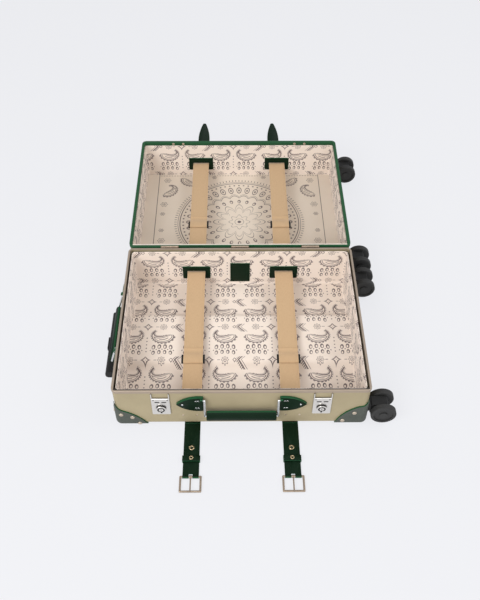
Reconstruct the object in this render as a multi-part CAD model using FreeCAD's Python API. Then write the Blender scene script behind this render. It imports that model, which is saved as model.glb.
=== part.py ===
import FreeCAD, Part
import math
import os

# A hard-sided carry-on trolley case, lying flat with its lid folded fully open.
# Millimetres. X runs along the case, Y from its front to its lid, Z up from the floor.

Vector = FreeCAD.Vector
ALONG_X = Vector(1, 0, 0)
ALONG_Y = Vector(0, 1, 0)
ALONG_Z = Vector(0, 0, 1)

# Shells
shell_length = 487.6
shell_depth = 380.0
base_height = 112.0
wall = 3.0
corner_radius = 9.5
edge_radius = 6.0
hinge_offset = 4.0
rim_gap = 0.6
body_gap = 0.3

# Rim strip of the base and binding of the lid
strip_thickness = 1.2
strip_drop = 6.5
strip_width = 5.4
strip_round = 2.0
binding_drop = 8.0
binding_width = 5.2
binding_lip = 10.0
binding_notch = 40.0

# Linings
lining_thickness = 2.0
lining_gap = 3.5
lining_below_rim = 4.0
lining_corner = 7.0
lining_edge = 6.0
platform_width = 124.0
platform_height = 20.0
platform_edge = 6.0

# Corner guards
guard_thickness = 3.0
guard_reach = 61.0
guard_rise = 74.0
guard_tip = 1.5
guard_shoulder = 44.0
guard_shoulder_along = 17.0
guard_neck = 54.0
guard_neck_along = 6.0
guard_bulge_along = 46.0
guard_bulge_up = 22.0
caster_guard_shoulder = 56.0
caster_guard_neck = 60.0
caster_guard_bulge_up = 32.0
guard_bulge_below = 40.0
guard_rivet_near = 11.0
guard_rivet_near_up = 34.0
guard_rivet_along = 32.0
guard_rivet_up = 25.0
guard_rivet_edge = 45.0
guard_rivet_lean = 10.0
caster_guard_rivets = ((25.0, 36.5), (46.0, 11.0))

# Rivets
rivet_radius = 4.4
rivet_head = 1.4
small_rivet_radius = 2.0
small_rivet_head = 0.8

# Locks and hasps
lock_from_end = 89.8
lock_x = shell_length / 2 - lock_from_end
lock_width = 35.0
lock_height = 67.0
lock_below_strip = 1.0
lock_top = base_height - strip_drop - lock_below_strip
lock_bottom = lock_top - lock_height
lock_thickness = 2.2
lock_corner = 2.5
lock_bar_radius = 2.0
lock_notch_width = 31.2
lock_notch_depth = 16.0
lock_slot_width = 9.0
lock_slot_height = 3.0
lock_slot_spacing = 13.0
lock_slot_below_top = 25.5
lock_hole_below_top = 20.5
lock_hole_spacing = 26.6
lock_hole_radius = 1.4
lock_recess = 1.2
lock_catch_up = 5.0
lock_catch_radius = 2.0
knob_radius = 10.0
knob_thickness = 3.2
knob_up = 19.0
knob_shaft_radius = 4.0
knob_ring = 2.6
key_radius = 4.6
key_slot_width = 1.2
shaft_clearance = 0.05
hasp_width = 30.0
hasp_length = 25.0
hasp_thickness = 1.5
hasp_leaf_thickness = 1.2
hasp_leaf_height = 20.0
hasp_knuckle = 2.0
hasp_pin = 1.0
hasp_below_rim = 15.0
hasp_axis_off = 3.6
hasp_corner = 4.0
hasp_rivet_spacing = 25.0
hasp_rivet_radius = 3.2

# Hinges between base and lid
hinge_spacing = 155.0
hinge_width = 38.0
hinge_leaf_thickness = 1.2
hinge_leaf_height = 40.0
hinge_knuckle = 2.4
hinge_pin = 1.4
hinge_lid_knuckle = 18.0

# Carry handles, one on the front wall between the locks and one on the left wall
patch_to_lock = 12.5
patch_length = 54.0
patch_outer = lock_x - lock_width / 2 - patch_to_lock
handle_half = patch_outer - patch_length
handle_pivot_below_rim = 24.0
handle_pivot_height = base_height - handle_pivot_below_rim
handle_pivot_off = 6.0
handle_drop = 42.0
front_handle_tilt = 9.0
side_handle_tilt = 17.0
grip_height = 24.0
grip_depth = 11.0
grip_edge = 4.0
grip_end_gap = 0.5
grip_socket = 14.0
grip_round = 4.0
link_radius = 2.2
link_pin = 2.0
patch_height = 41.0
patch_below_pivot = 14.0
patch_centre = handle_pivot_height - patch_below_pivot
patch_thickness = 5.6
patch_bulge_from_tip = 18.0
patch_bulge = patch_outer - patch_bulge_from_tip
patch_bulge_rise = 15.0
patch_fold_length = 5.5
patch_fold_radius = 4.0
patch_tip_rivet_inset = 11.5
patch_rivet_column = 12.0
patch_rivet_spacing = 4.6
patch_rivet_rise = 11.5

# Trolley handle in the base
tube_spacing = 100.0
sleeve_radius = 8.0
tube_wall = 0.9
tube_clearance = 0.25
tube_travel = 190.0
tube_overlap = 248.0
tube_step_back = 5.0
bezel_thickness = 4.0
bezel_length = 150.0
bezel_height = 20.0
bezel_corner = 9.0
middle_proud = 3.0
trolley_grip_gap = 7.0
trolley_grip_depth = 24.0
trolley_grip_height = 18.0
trolley_grip_length = 162.0
trolley_grip_edge = 7.0
trolley_collar = 8.6
tube_socket = 10.0
button_length = 30.0
button_height = 8.0
button_depth = 6.0
button_proud = 2.5
button_clearance = 0.3

# Casters on the right wall
caster_front_inset = 18.0
caster_rear_inset = 31.0
caster_up = 39.5
caster_up_lid = 39.5
caster_trail = 9.0
wheel_radius = 25.0
wheel_width = 12.0
wheel_spacing = 36.0
wheel_out = 32.0
wheel_recess = 2.0
wheel_rim = 6.0
wheel_edge = 2.0
hub_radius = 8.0
axle_radius = 3.0
housing_radius = 15.0
housing_thickness = 6.5
swivel_radius = 5.0
swivel_floor = 0.8
fork_width = 21.0
fork_half_height = 9.0
fork_edge = 3.0

# Leather straps around the case
strap_x = 96.0
strap_width = 31.0
strap_thickness = 2.4
strap_proud = 3.0
strap_below_rim = 1.0
flap_length = 115.5
flap_eyelets = (53.0, 77.0)
eyelet_radius = 2.6
keeper_from_axis = 72.5
keeper_width = 12.0
keeper_wall = 1.6
keeper_room = 3.0
buckle_width = 38.0
buckle_length = 30.0
buckle_wire = 2.0
buckle_fold = 3.2
buckle_clearance = 0.1
buckle_slot = 7.0
prong_radius = 1.4
prong_ring = 3.0
prong_ring_width = 5.0
tip_length = 228.0
tip_taper = 71.0
tip_belly = 13.3
tip_belly_from_end = 44.0
tip_nose = 5.0

# Packing webbing, its leather anchors and its sliders
webbing_x = 98.0
webbing_width = 40.0
webbing_thickness = 1.6
base_webbing_front = 31.0
base_webbing_rear = 49.0
lid_webbing_up = 44.0
lid_webbing_height = guard_thickness + lid_webbing_up
anchor_width = 62.0
anchor_height = 37.0
anchor_thickness = 2.0
anchor_round = 3.0
anchor_above_webbing = 16.0
base_anchor_top = 63.0
lid_anchor_top = lid_webbing_height + anchor_above_webbing
slider_width = 48.0
slider_length = 20.0
slider_thickness = 6.0
slider_clearance = 0.4
slider_round = 1.5
base_slider_from_front = 122.0
lid_slider_from_hinge = 141.0
webbing_rivet_height = 31.0
webbing_rivet_x = (86.0, 113.0)

# Bare leather patch on the rear wall of the base
tag_width = 44.0
tag_height = 58.0
tag_top = 73.0
tag_thickness = 1.6

# Places that follow from the sizes above
half_length = shell_length / 2
hinge_height = base_height + rim_gap / 2
strip_top = base_height - strip_thickness
SIDES = (("left", -1), ("right", 1))


class Half:
    """One tray of the case: its rear and front walls in Y, its outer floor, and where its front faces."""

    def __init__(self, outward, floor, caster_up_here):
        self.outward = outward
        self.rear = outward * hinge_offset
        self.front = outward * (hinge_offset + shell_depth)
        self.middle = outward * (hinge_offset + shell_depth / 2)
        self.floor = floor
        self.caster_up = caster_up_here


base = Half(-1, guard_thickness, caster_up)
lid = Half(1, guard_thickness, caster_up_lid)


def block(x0, x1, y0, y1, z0, z1):
    """Box between two values on each axis, in either order."""
    low = Vector(min(x0, x1), min(y0, y1), min(z0, z1))
    return Part.makeBox(abs(x1 - x0), abs(y1 - y0), abs(z1 - z0), low)


def rod(radius, start, end):
    """Round bar from one point to another."""
    start = Vector(*start)
    run = Vector(*end) - start
    return Part.makeCylinder(radius, run.Length, start, run)


def pipe(outer, inner, start, end):
    """Round tube from one point to another."""
    return rod(outer, start, end).cut(rod(inner, start, end))


def ball(radius, centre):
    """Sphere at a point."""
    return Part.makeSphere(radius, Vector(*centre))


def fuse_all(pieces):
    """One solid out of several that overlap."""
    whole = pieces[0].multiFuse(pieces[1:])
    return whole.removeSplitter()


def turned(shape, point, axis, angle):
    """Copy of a shape turned about an axis through a point, in degrees."""
    copy = shape.copy()
    copy.rotate(Vector(*point), axis, angle)
    return copy


def edges_along(shape, axis):
    """Straight edges of a shape that run along an axis."""
    found = []
    for edge in shape.Edges:
        run = edge.Vertexes[-1].Point - edge.Vertexes[0].Point
        if run.Length > 0 and abs(run.dot(axis)) > 0.999 * run.Length:
            found.append(edge)
    return found


def rounded_block(x0, x1, y0, y1, z0, z1, radius, axis=ALONG_Z):
    """Box with the four edges along one axis rounded."""
    body = block(x0, x1, y0, y1, z0, z1)
    return body.makeFillet(radius, edges_along(body, axis))


def tray_form(x0, x1, y0, y1, z0, z1, corner, edge):
    """Box with rounded upright edges and a rounded underside."""
    body = rounded_block(x0, x1, y0, y1, z0, z1, corner)
    low = min(z0, z1)
    underside = [e for e in body.Edges if e.BoundBox.ZMax < low + 0.001]
    return body.makeFillet(edge, underside)


def half_form(half, inset, z0, z1, corner, edge):
    """Tray form of one half, drawn in from its outer walls by an inset."""
    inner_rear = half.rear + half.outward * inset
    inner_front = half.front - half.outward * inset
    span = half_length - inset
    return tray_form(-span, span, inner_rear, inner_front, z0, z1, corner, edge)


def half_ring(half, inset, z0, z1):
    """Upright-sided plan of one half, drawn in (or let out) by an inset."""
    inner_rear = half.rear + half.outward * inset
    inner_front = half.front - half.outward * inset
    span = half_length - inset
    radius = corner_radius - inset
    return rounded_block(-span, span, inner_rear, inner_front, z0, z1, radius)


def shell_form(half):
    """Outside of one shell as a full body."""
    return half_form(half, 0, half.floor, strip_top, corner_radius, edge_radius)


def shell(half):
    """Thin tray of one half."""
    inside = half_form(half, wall, half.floor + wall, base_height, corner_radius - wall, edge_radius - wall)
    return shell_form(half).cut(inside)


def tube_places():
    """Y of the two trolley tubes."""
    return [base.middle - tube_spacing / 2, base.middle + tube_spacing / 2]


tube_height = base.floor + wall + sleeve_radius


def base_shell():
    """Base tray with the two holes that the trolley sleeves pass through."""
    body = shell(base)
    for y in tube_places():
        hole = rod(
            sleeve_radius,
            (-half_length - wall, y, tube_height),
            (-half_length + edge_radius, y, tube_height),
        )
        body = body.cut(hole)
    return body


def base_rim():
    """Metal strip folded over the rim of the base, rounded on its outside."""
    outside = half_ring(base, -strip_thickness, base_height - strip_drop, base_height)
    upper = [e for e in outside.Edges if e.BoundBox.ZMin > strip_top]
    outside = outside.makeFillet(strip_round, upper)
    seat = half_ring(base, 0, base_height - strip_drop, strip_top)
    mouth = half_ring(base, strip_width - strip_thickness, strip_top, base_height)
    return outside.cut(seat).cut(mouth)


def lid_binding():
    """Leather binding over the rim of the lid, with notches for the hinges."""
    lip_bottom = base_height - binding_lip
    outside = half_ring(lid, -strip_thickness, base_height - binding_drop, base_height)
    seat = half_ring(lid, 0, base_height - binding_drop, strip_top)
    mouth = half_ring(lid, binding_width, base_height - binding_drop, base_height)
    lip = half_ring(lid, wall, lip_bottom, strip_top)
    lip = lip.cut(half_ring(lid, binding_width, lip_bottom, strip_top))
    body = fuse_all([outside.cut(seat).cut(mouth), lip])
    for x in hinge_places():
        edge = lid.rear - strip_thickness
        notch = block(x - binding_notch / 2, x + binding_notch / 2, edge, lid.rear, lip_bottom, base_height)
        body = body.cut(notch)
    return body


def hinge_places():
    """X of the three hinges."""
    return [-hinge_spacing, 0.0, hinge_spacing]


lining_inset = wall + lining_gap
base_lining_face = lining_inset + lining_thickness
lid_lining_face = wall + lining_thickness


def base_lining():
    """Fabric-covered inner tray of the base, raised over the trolley tubes."""
    seat = base.floor + wall
    top = base_height - lining_below_rim
    outside = half_form(base, lining_inset, seat, top, lining_corner, lining_edge)
    inside = half_form(
        base,
        base_lining_face,
        seat + lining_thickness,
        base_height,
        lining_corner - lining_thickness,
        lining_edge - lining_thickness,
    )
    span = half_length - base_lining_face
    front = base.middle - platform_width / 2
    rear = base.middle + platform_width / 2
    platform = block(-span, span, front, rear, seat, seat + platform_height)
    upper = [e for e in edges_along(platform, ALONG_X) if e.BoundBox.ZMin > seat + lining_thickness]
    platform = platform.makeFillet(platform_edge, upper)
    hollow = block(
        -half_length,
        span - lining_thickness,
        front + lining_thickness,
        rear - lining_thickness,
        seat,
        seat + platform_height - lining_thickness,
    )
    return fuse_all([outside.cut(inside), platform.common(outside)]).cut(hollow)


def lid_lining():
    """Fabric-covered inner tray of the lid."""
    seat = lid.floor + wall
    top = base_height - binding_lip
    corner = corner_radius - wall
    edge = edge_radius - wall
    outside = half_form(lid, wall, seat, top, corner, edge)
    inside = half_form(
        lid,
        lid_lining_face,
        seat + lining_thickness,
        base_height,
        corner - lining_thickness,
        edge - lining_thickness,
    )
    return outside.cut(inside)


def guard_profile(by_caster):
    """Outline of a guard on an upright wall: along the bottom edge, and up the corner to a narrow tip."""
    out = -2 * guard_thickness
    foot = Vector(guard_reach, 0, 0)
    bulge = Vector(guard_bulge_along, caster_guard_bulge_up if by_caster else guard_bulge_up, 0)
    shoulder = Vector(guard_shoulder_along, caster_guard_shoulder if by_caster else guard_shoulder, 0)
    neck = Vector(guard_neck_along, caster_guard_neck if by_caster else guard_neck, 0)
    tip = Vector(guard_tip, guard_rise, 0)
    lines = [
        Part.makeLine(Vector(out, out, 0), Vector(guard_reach, out, 0)),
        Part.makeLine(Vector(guard_reach, out, 0), foot),
        Part.Arc(foot, bulge, shoulder).toShape(),
        Part.Arc(shoulder, neck, tip).toShape(),
        Part.makeLine(tip, Vector(out, guard_rise, 0)),
        Part.makeLine(Vector(out, guard_rise, 0), Vector(out, out, 0)),
    ]
    return Part.Face(Part.Wire(lines))


def guard_floor_profile():
    """Outline of a guard on the underside."""
    out = -2 * guard_thickness
    start = Vector(guard_reach, 0, 0)
    through = Vector(guard_bulge_below, guard_bulge_below, 0)
    end = Vector(0, guard_reach, 0)
    lines = [
        Part.makeLine(Vector(out, out, 0), Vector(guard_reach, out, 0)),
        Part.makeLine(Vector(guard_reach, out, 0), start),
        Part.Arc(start, through, end).toShape(),
        Part.makeLine(end, Vector(out, guard_reach, 0)),
        Part.makeLine(Vector(out, guard_reach, 0), Vector(out, out, 0)),
    ]
    return Part.Face(Part.Wire(lines))


def guard(by_caster):
    """Leather guard around a corner whose sharp point would be the origin, fuller beside a caster."""
    far = 2 * max(guard_reach, guard_rise)
    near = -guard_thickness
    outside = tray_form(
        near, far, near, far, near, far, corner_radius + guard_thickness, edge_radius + guard_thickness
    )
    inside = tray_form(0, 2 * far, 0, 2 * far, 0, 2 * far, corner_radius, edge_radius)
    skin = outside.cut(inside)
    upright = guard_profile(by_caster)
    front_view = turned(upright, (0, 0, 0), ALONG_X, 90)
    front_view.translate(Vector(0, far, 0))
    front_prism = front_view.extrude(Vector(0, -2 * far, 0))
    side_prism = turned(front_prism, (0, 0, 0), ALONG_Z, 90).mirror(Vector(0, 0, 0), ALONG_X)
    floor_view = guard_floor_profile()
    floor_view.translate(Vector(0, 0, -far))
    floor_prism = floor_view.extrude(Vector(0, 0, 3 * far))
    return skin.common(front_prism).common(side_prism).common(floor_prism)


def to_corner(shape, half, side, at_front):
    """Move a piece made for a corner at the origin to one of the four lower corners of a half."""
    placed = shape
    if side > 0:
        placed = placed.mirror(Vector(0, 0, 0), ALONG_X)
    y = half.front if at_front else half.rear
    inward = -half.outward if at_front else half.outward
    if inward < 0:
        placed = placed.mirror(Vector(0, 0, 0), ALONG_Y)
    placed = placed.copy()
    placed.translate(Vector(side * half_length, y, half.floor))
    return placed


def rivet(point, outward, radius, head, sunk=0.0):
    """Domed rivet head on a surface, reaching a little under it where the surface is curved."""
    outward = Vector(*outward).normalize()
    start = Vector(*point) - outward * sunk
    body = Part.makeCylinder(radius, head + sunk, start, outward)
    middle = start + outward * (head + sunk)
    crown = [e for e in body.Edges if e.CenterOfMass.distanceToPoint(middle) < 0.001]
    return body.makeFillet(0.8 * head, crown)


def guard_rivets(at_front):
    """Rivets of a guard away from the casters, in its own corner frame, on its walls but the hinge wall."""
    lean_out = math.cos(math.radians(guard_rivet_lean))
    lean_down = math.sin(math.radians(guard_rivet_lean))
    edge_out = edge_radius - (edge_radius + guard_thickness) * lean_out
    edge_up = edge_radius - (edge_radius + guard_thickness) * lean_down
    flat_out = -guard_thickness
    places = [
        ((guard_rivet_near, flat_out, guard_rivet_near_up), (0, -1, 0)),
        ((guard_rivet_along, flat_out, guard_rivet_up), (0, -1, 0)),
        ((guard_rivet_edge, edge_out, edge_up), (0, -lean_out, -lean_down)),
    ]
    leather = guard(False)
    heads = []
    for point, outward in places:
        head = rivet(point, outward, rivet_radius, rivet_head, guard_thickness / 2).cut(leather)
        if at_front:
            heads.append(head)
        heads.append(head.mirror(Vector(0, 0, 0), Vector(1, -1, 0)))
    return heads


def caster_guard_heads():
    """Rivets of a guard beside a caster, on its front wall alone, in its own corner frame."""
    leather = guard(True)
    heads = []
    for along, up in caster_guard_rivets:
        point = (along, -guard_thickness, up)
        heads.append(rivet(point, (0, -1, 0), rivet_radius, rivet_head, guard_thickness / 2).cut(leather))
    return heads


def corner_guards(half):
    """The four guards of a half, with the caster housings let into those on the right."""
    pieces = []
    for _, side in SIDES:
        for at_front in (True, False):
            placed = to_corner(guard(side > 0), half, side, at_front)
            if side > 0:
                placed = placed.cut(housing_blank(half, at_front))
            pieces.append(placed)
    return Part.makeCompound(pieces)


def corner_rivets(half):
    """Rivets of the guards of a half, with none on the hinge side or beside the casters."""
    heads = []
    for _, side in SIDES:
        for at_front in (True, False):
            if side < 0:
                loose = guard_rivets(at_front)
            else:
                loose = caster_guard_heads() if at_front else []
            heads += [to_corner(head, half, side, at_front) for head in loose]
    return heads


def caster_axis(half, at_front):
    """Y and Z of a caster's swivel axis."""
    if at_front:
        y = half.front - half.outward * caster_front_inset
    else:
        y = half.rear + half.outward * caster_rear_inset
    return y, half.floor + half.caster_up


def housing_blank(half, at_front):
    """Round caster housing before its bore, reaching into the shell's rounded corner."""
    y, z = caster_axis(half, at_front)
    return rod(housing_radius, (half_length - corner_radius, y, z), (half_length + housing_thickness, y, z))


def caster_housings(half):
    """The two caster housings of a half, seated on the right wall."""
    pieces = []
    outside = shell_form(half)
    for at_front in (True, False):
        y, z = caster_axis(half, at_front)
        bore_start = (half_length + swivel_floor, y, z)
        bore_end = (half_length + housing_thickness, y, z)
        bore = rod(swivel_radius + shaft_clearance, bore_start, bore_end)
        pieces.append(housing_blank(half, at_front).cut(outside).cut(bore))
    return Part.makeCompound(pieces)


wheel_x = half_length + wheel_out


def caster_fork(half, at_front):
    """Fork between the two wheels, with its swivel stem."""
    y, z = caster_axis(half, at_front)
    start = half_length + housing_thickness + body_gap
    wheel_z = z - caster_trail
    body = rounded_block(
        start,
        wheel_x + fork_half_height,
        y - fork_width / 2,
        y + fork_width / 2,
        wheel_z - fork_half_height,
        z + fork_half_height,
        fork_edge,
        ALONG_Y,
    )
    stem = rod(swivel_radius, (half_length + swivel_floor + body_gap, y, z), (start + fork_edge, y, z))
    hole = rod(
        axle_radius + shaft_clearance,
        (wheel_x, y - fork_width, wheel_z),
        (wheel_x, y + fork_width, wheel_z),
    )
    return fuse_all([body, stem]).cut(hole)


def wheel(y, z, face):
    """One wheel, dished on its outer face."""
    inner = y - face * wheel_width / 2
    outer = y + face * wheel_width / 2
    body = rod(wheel_radius, (wheel_x, inner, z), (wheel_x, outer, z))
    body = body.makeFillet(wheel_edge, [e for e in body.Edges if e.Closed])
    dish = pipe(
        wheel_radius - wheel_rim,
        hub_radius,
        (wheel_x, outer - face * wheel_recess, z),
        (wheel_x, outer, z),
    )
    return body.cut(dish)


def caster_wheels(half, at_front):
    """Both wheels of a caster on their axle."""
    y, z = caster_axis(half, at_front)
    wheel_z = z - caster_trail
    near = y - wheel_spacing / 2
    far = y + wheel_spacing / 2
    axle = rod(axle_radius, (wheel_x, near, wheel_z), (wheel_x, far, wheel_z))
    return fuse_all([wheel(near, wheel_z, -1), wheel(far, wheel_z, 1), axle])


lock_face = base.front - lock_thickness
knob_height = lock_bottom + knob_up


def lock_plate(side):
    """Lock plate on the front wall, with its notch for the hasp, rolled bar, slots, holes and knob bore."""
    x = side * lock_x
    half_width = lock_width / 2
    plate = rounded_block(
        x - half_width, x + half_width, lock_face, base.front, lock_bottom, lock_top, lock_corner, ALONG_Y
    )
    notch_half = lock_notch_width / 2
    notch_floor = lock_top - lock_notch_depth
    notch = block(x - notch_half, x + notch_half, lock_face, base.front, notch_floor, lock_top)
    bar_y = base.front - lock_bar_radius
    bar = rod(lock_bar_radius, (x - notch_half, bar_y, notch_floor), (x + notch_half, bar_y, notch_floor))
    body = fuse_all([plate.cut(notch), bar])
    floor = lock_face + lock_recess
    for offset in (-lock_slot_spacing / 2, lock_slot_spacing / 2):
        middle = x + offset
        slot_top = lock_top - lock_slot_below_top
        slot = block(
            middle - lock_slot_width / 2,
            middle + lock_slot_width / 2,
            lock_face,
            floor,
            slot_top - lock_slot_height,
            slot_top,
        )
        body = body.cut(slot)
    hole_height = lock_top - lock_hole_below_top
    for offset in (-lock_hole_spacing / 2, lock_hole_spacing / 2):
        start = (x + offset, lock_face, hole_height)
        body = body.cut(rod(lock_hole_radius, start, (x + offset, floor, hole_height)))
    bore = rod(
        knob_shaft_radius + shaft_clearance, (x, lock_face, knob_height), (x, base.front, knob_height)
    )
    catch_height = lock_bottom + lock_catch_up
    catch = rod(lock_catch_radius, (x, lock_face, catch_height), (x, floor, catch_height))
    return body.cut(bore).cut(catch)


def lock_knob(side):
    """Thumb-turn of a lock: a C-shaped ring round a key barrel, on a short shaft."""
    x = side * lock_x
    back = lock_face - body_gap
    face = back - knob_thickness
    floor = back - knob_thickness / 3
    disc = rod(knob_radius, (x, back, knob_height), (x, floor, knob_height))
    ring = pipe(knob_radius, knob_radius - knob_ring, (x, floor, knob_height), (x, face, knob_height))
    mouth = block(x - key_radius, x + key_radius, floor, face, knob_height - knob_radius, knob_height)
    barrel = rod(key_radius, (x, floor, knob_height), (x, face, knob_height))
    key_way = block(
        x - key_slot_width / 2,
        x + key_slot_width / 2,
        floor,
        face,
        knob_height - key_radius / 2,
        knob_height + key_radius / 2,
    )
    shaft = rod(knob_shaft_radius, (x, back, knob_height), (x, base.front - body_gap, knob_height))
    return fuse_all([disc, ring.cut(mouth), barrel.cut(key_way), shaft])


hasp_height = base_height - hasp_below_rim
hasp_y = lid.front + hasp_axis_off
hasp_middle = hasp_width / 2


def hasp_leaf(side):
    """Fixed leaf of a hasp on the front wall of the lid, with its end knuckles and pin."""
    x = side * lock_x
    half_width = hasp_width / 2
    plate = block(
        x - half_width,
        x + half_width,
        lid.front,
        lid.front + hasp_leaf_thickness,
        hasp_height - hasp_leaf_height,
        hasp_height,
    )
    pin = rod(hasp_pin, (x - half_width, hasp_y, hasp_height), (x + half_width, hasp_y, hasp_height))
    pieces = [plate, pin]
    for end in (-1, 1):
        inner = x + end * (hasp_middle / 2 + body_gap)
        outer = x + end * half_width
        pieces.append(rod(hasp_knuckle, (inner, hasp_y, hasp_height), (outer, hasp_y, hasp_height)))
        ear = block(inner, outer, lid.front, hasp_y, hasp_height - hasp_pin, hasp_height + hasp_pin)
        pieces.append(ear)
    return fuse_all(pieces)


def hasp(side):
    """Swinging plate of a hasp, folded back against the lid."""
    x = side * lock_x
    half_width = hasp_width / 2
    back = lid.front + hasp_leaf_thickness + slider_clearance
    top = hasp_height - hasp_knuckle - 2 * body_gap
    plate = rounded_block(
        x - half_width,
        x + half_width,
        back,
        back + hasp_thickness,
        hasp_height - hasp_length,
        top,
        hasp_corner,
        ALONG_Y,
    )
    knuckle = rod(
        hasp_knuckle, (x - hasp_middle / 2, hasp_y, hasp_height), (x + hasp_middle / 2, hasp_y, hasp_height)
    )
    neck = block(
        x - hasp_middle / 2,
        x + hasp_middle / 2,
        back,
        back + hasp_thickness,
        top - hasp_corner,
        hasp_height,
    )
    hole = rod(
        hasp_pin + shaft_clearance,
        (x - half_width, hasp_y, hasp_height),
        (x + half_width, hasp_y, hasp_height),
    )
    return fuse_all([plate, knuckle, neck]).cut(hole)


def hasp_rivets():
    """Rivets of the hasps, inside the lip of the lid."""
    heads = []
    y = lid.front - binding_width
    for _, side in SIDES:
        for end in (-1, 1):
            x = side * lock_x + end * hasp_rivet_spacing / 2
            centre = (x, y, base_height - binding_lip / 2)
            heads.append(rivet(centre, (0, -1, 0), hasp_rivet_radius, small_rivet_head))
    return heads


def hinge_leaf(half, x):
    """One hinge leaf on the rear wall of a half, joggled over the rim."""
    side = half.outward
    half_width = hinge_width / 2
    seat_top = base_height - strip_drop if half is base else strip_top
    leaf_back = half.rear - side * strip_thickness
    leaf_face = leaf_back - side * hinge_leaf_thickness
    bottom = base_height - strip_drop - hinge_leaf_height
    clear_top = hinge_height - hinge_knuckle - 2 * body_gap
    lower = block(x - half_width, x + half_width, half.rear, leaf_face, bottom, min(seat_top, clear_top))
    upper = block(x - half_width, x + half_width, leaf_back, leaf_face, bottom, clear_top)
    pieces = [lower, upper]
    middle = hinge_lid_knuckle / 2
    if half is lid:
        spans = [(x - middle, x + middle)]
    else:
        spans = [(x - half_width, x - middle - body_gap), (x + middle + body_gap, x + half_width)]
    for start, end in spans:
        pieces.append(rod(hinge_knuckle, (start, 0, hinge_height), (end, 0, hinge_height)))
        pieces.append(block(start, end, leaf_back, leaf_face, bottom, hinge_height))
    hole = rod(
        hinge_pin + shaft_clearance, (x - half_width, 0, hinge_height), (x + half_width, 0, hinge_height)
    )
    return fuse_all(pieces).cut(hole)


def hinge_leaves(half):
    """The three hinge leaves of a half."""
    return Part.makeCompound([hinge_leaf(half, x) for x in hinge_places()])


def hinge_pins():
    """The three hinge pins."""
    half_width = hinge_width / 2
    pins = [
        rod(hinge_pin, (x - half_width, 0, hinge_height), (x + half_width, 0, hinge_height))
        for x in hinge_places()
    ]
    return Part.makeCompound(pins)


patch_inner = handle_half + link_radius + 2 * body_gap


def link_low(tilt):
    """How far off the wall and how high a handle's links end, with the handle at this tilt."""
    angle = math.radians(tilt)
    off = handle_pivot_off + handle_drop * math.sin(angle)
    return off, handle_pivot_height - handle_drop * math.cos(angle)


def to_front(shape):
    """Move a handle piece from its own frame, with the wall at Y = 0, to the front wall."""
    placed = shape.copy()
    placed.translate(Vector(0, base.front, 0))
    return placed


def to_left(shape):
    """Move a handle piece from its own frame to the left wall."""
    placed = turned(shape, (0, 0, 0), ALONG_Z, -90)
    placed.translate(Vector(-half_length, base.middle, 0))
    return placed


def mirrored(shape, side):
    """The right-hand piece itself, or its twin for the left."""
    if side > 0:
        return shape
    return shape.mirror(Vector(0, 0, 0), ALONG_X)


def handle_patch(side):
    """Leaf-shaped leather patch with the fold that holds the handle's link."""
    low = patch_centre - patch_height / 2
    high = patch_centre + patch_height / 2
    bulge = patch_bulge_rise
    tip = Vector(patch_outer, 0, patch_centre)
    upper = Part.Arc(
        Vector(patch_inner, 0, high), Vector(patch_bulge, 0, patch_centre + bulge), tip
    ).toShape()
    lower = Part.Arc(
        tip, Vector(patch_bulge, 0, patch_centre - bulge), Vector(patch_inner, 0, low)
    ).toShape()
    back = Part.makeLine(Vector(patch_inner, 0, low), Vector(patch_inner, 0, high))
    leaf = Part.Face(Part.Wire([back, upper, lower])).extrude(Vector(0, -patch_thickness, 0))
    pivot_y = -handle_pivot_off
    fold_end = patch_inner + patch_fold_length
    fold = rod(
        patch_fold_radius,
        (patch_inner, pivot_y, handle_pivot_height),
        (fold_end, pivot_y, handle_pivot_height),
    )
    root = block(
        patch_inner,
        fold_end,
        0,
        pivot_y,
        handle_pivot_height - patch_fold_radius,
        handle_pivot_height + patch_fold_radius,
    )
    hole = rod(
        link_pin + shaft_clearance,
        (patch_inner, pivot_y, handle_pivot_height),
        (fold_end, pivot_y, handle_pivot_height),
    )
    return mirrored(fuse_all([leaf, fold, root]).cut(hole), side)


def handle_patch_rivets(side):
    """Rivets of one patch: one near the tip and two pairs at the inner end."""
    places = [(patch_outer - patch_tip_rivet_inset, patch_centre)]
    column = handle_half + patch_rivet_column
    for x in (column, column + patch_rivet_spacing):
        places.append((x, patch_centre - patch_rivet_rise))
        places.append((x, patch_centre + patch_rivet_rise))
    heads = []
    for x, z in places:
        head = rivet((x, -patch_thickness, z), (0, -1, 0), small_rivet_radius, small_rivet_head)
        heads.append(mirrored(head, side))
    return heads


def handle_link(side, tilt):
    """Metal link from the fold of a patch down to the end of the grip."""
    top = (handle_half, -handle_pivot_off, handle_pivot_height)
    off, height = link_low(tilt)
    low = (handle_half, -off, height)
    pin_end = patch_inner + patch_fold_length - body_gap
    pieces = [
        rod(link_radius, top, low),
        ball(link_radius, top),
        ball(link_radius, low),
        rod(link_pin, top, (pin_end, top[1], top[2])),
        rod(link_pin, low, (handle_half - grip_socket, low[1], low[2])),
    ]
    return mirrored(fuse_all(pieces), side)


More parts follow.
